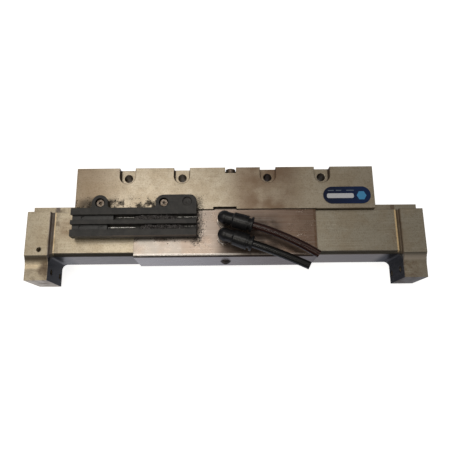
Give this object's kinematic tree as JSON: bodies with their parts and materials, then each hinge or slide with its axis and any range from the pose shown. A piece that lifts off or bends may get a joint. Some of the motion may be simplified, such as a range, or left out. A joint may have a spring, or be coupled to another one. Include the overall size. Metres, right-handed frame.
{
  "type": "pneumatic gripper",
  "caption": "Long-stroke parallel gripper: two cylinder-barrel jaws slide on a fixed piston rod in a flat housing, geared by racks and a pinion, with push-in air fittings.",
  "frame": {"origin": "on the mounting face, midway between the jaws and under the piston rod", "axes": "+X along the jaw stroke, towards the right jaw; +Y from the finger tips towards the edge with the fixing holes; +Z out of the mounting face, towards the front face that carries the fittings"},
  "size_m": [0.208, 0.0596, 0.0396],
  "materials": {
    "housing_metal": "satin, hard-coated, stained",
    "jaw_metal": "satin, hard-coated, stained",
    "cover_steel": "satin sheet, stained",
    "steel": "ground",
    "dark_steel": "black oxide",
    "bracket_black": "black anodised, matte, grimy",
    "sensor_plastic": "matte",
    "fitting_plastic": "fine moulded grain",
    "nickel_brass": "nickel plated",
    "bronze": "turned",
    "seal_rubber": "matte",
    "tube_red": "smoky translucent red",
    "tube_black": "gloss",
    "label_film": "gloss film"
  },
  "bodies": {
    "housing_group": {"housing": "housing_metal", "centre_block": "housing_metal", "block_screws": "dark_steel", "cover": "cover_steel", "cover_screw": "dark_steel", "piston_rod": "steel", "rod_plug": "bronze", "left_piston": "jaw_metal", "right_piston": "jaw_metal", "piston_seals": "seal_rubber", "pinion_axle": "steel", "axle_set_screw": "dark_steel", "port_plug": "steel", "side_port_seal": "seal_rubber", "sensor_bracket": "bracket_black", "bracket_screws": "steel", "upper_sensor": "sensor_plastic", "lower_sensor": "sensor_plastic", "label_plate": "label_film", "port_washers": "nickel_brass", "upper_stem": "nickel_brass", "upper_swivel_seal": "seal_rubber", "lower_stem": "nickel_brass", "lower_swivel_seal": "seal_rubber"},
    "left_jaw_group": {"left_jaw": "jaw_metal", "left_gland": "bronze", "left_gland_clip": "dark_steel", "left_gland_seals": "seal_rubber", "left_rack": "steel", "left_rack_pins": "steel", "jaw_magnet": "steel"},
    "right_jaw_group": {"right_jaw": "jaw_metal", "right_gland": "bronze", "right_gland_clip": "dark_steel", "right_gland_seals": "seal_rubber", "right_rack": "steel", "right_rack_pins": "steel"},
    "pinion_group": {"pinion": "steel", "pinion_bush": "bronze"},
    "upper_elbow_group": {"upper_elbow": "fitting_plastic", "upper_collet": "steel", "upper_tube_seal": "seal_rubber", "upper_tube": "tube_red"},
    "upper_collar_group": {"upper_collar": "fitting_plastic"},
    "lower_elbow_group": {"lower_elbow": "fitting_plastic", "lower_collet": "steel", "lower_tube_seal": "seal_rubber", "lower_tube": "tube_black"},
    "lower_collar_group": {"lower_collar": "fitting_plastic"}
  },
  "joints": [
    {"name": "left_jaw_slide", "type": "slide", "parent": "housing_group", "child": "left_jaw_group", "axis": [1, 0, 0], "range_m": [0, 0.04]},
    {"name": "right_jaw_slide", "type": "slide", "parent": "housing_group", "child": "right_jaw_group", "axis": [-1, 0, 0], "range_m": [0, 0.04]},
    {"name": "pinion_spin", "type": "hinge", "parent": "housing_group", "child": "pinion_group", "pos_m": [0, 0.01415, 0.00965], "axis": [0, 1, 0], "range_deg": [0, 573]},
    {"name": "upper_elbow_swivel", "type": "hinge", "parent": "housing_group", "child": "upper_elbow_group", "pos_m": [-0.0004, 0.00565, 0.0355], "axis": [0, 0, 1], "range_deg": [0, 120]},
    {"name": "lower_elbow_swivel", "type": "hinge", "parent": "housing_group", "child": "lower_elbow_group", "pos_m": [-0.0004, -0.00325, 0.0355], "axis": [0, 0, 1], "range_deg": [-110, 0]},
    {"name": "upper_collar_press", "type": "slide", "parent": "upper_elbow_group", "child": "upper_collar_group", "axis": [-0.9563, 0.2924, 0], "range_m": [0, 0.0008]},
    {"name": "lower_collar_press", "type": "slide", "parent": "lower_elbow_group", "child": "lower_collar_group", "axis": [-0.9426, 0.3338, 0], "range_m": [0, 0.0008]}
  ],
  "couplings": [
    {"joint": "right_jaw_slide", "follows": "left_jaw_slide", "ratio": 1},
    {"joint": "pinion_spin", "follows": "left_jaw_slide", "rad_per_m": 250}
  ]
}
